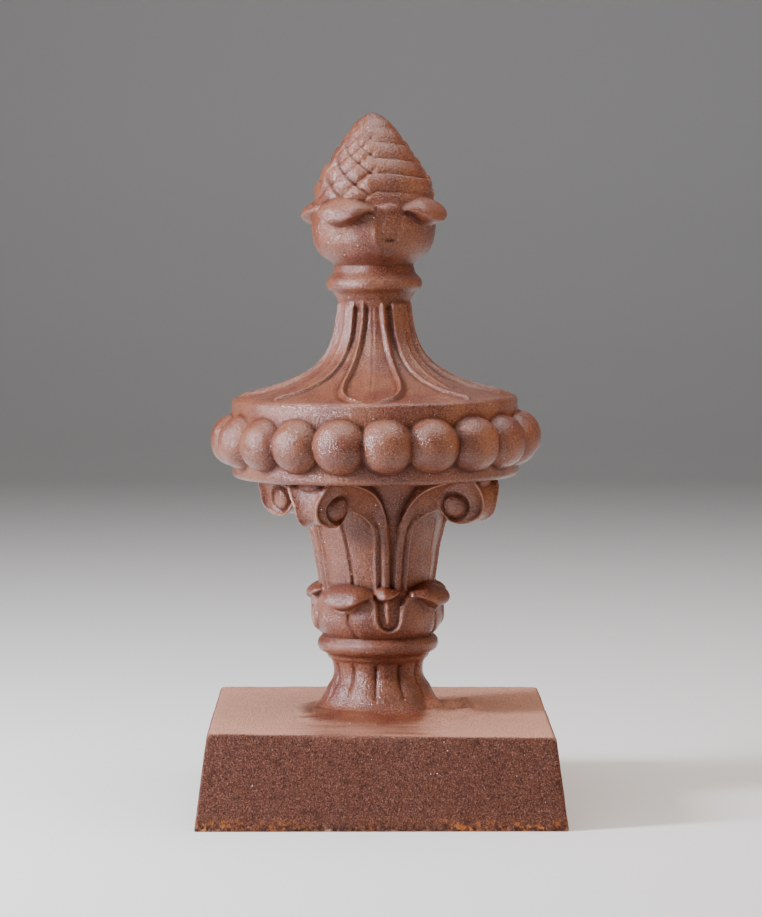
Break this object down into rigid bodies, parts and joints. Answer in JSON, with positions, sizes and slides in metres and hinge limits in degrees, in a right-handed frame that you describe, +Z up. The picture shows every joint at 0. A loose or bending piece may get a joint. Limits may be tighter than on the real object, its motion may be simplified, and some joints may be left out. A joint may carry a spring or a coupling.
{
  "type": "pine cone finial",
  "caption": "Stoneware roof finial: a square plinth, lobed foot, leafy capital with volutes, beaded disc, flared neck and a pine cone in a leaf cup",
  "frame": {"origin": "middle of the plinth's underside, on the surface that it stands on", "axes": "+Z up to the cone's tip, -Y the front, +X to the viewer's right"},
  "size_m": [0.395, 0.395, 0.76],
  "materials": {
    "salt_glazed_stoneware": "red-brown salt glaze with an orange-peel texture, glossy on the ornament and drier on the plinth"
  },
  "bodies": {
    "root": {"finial": "salt_glazed_stoneware"}
  },
  "joints": []
}
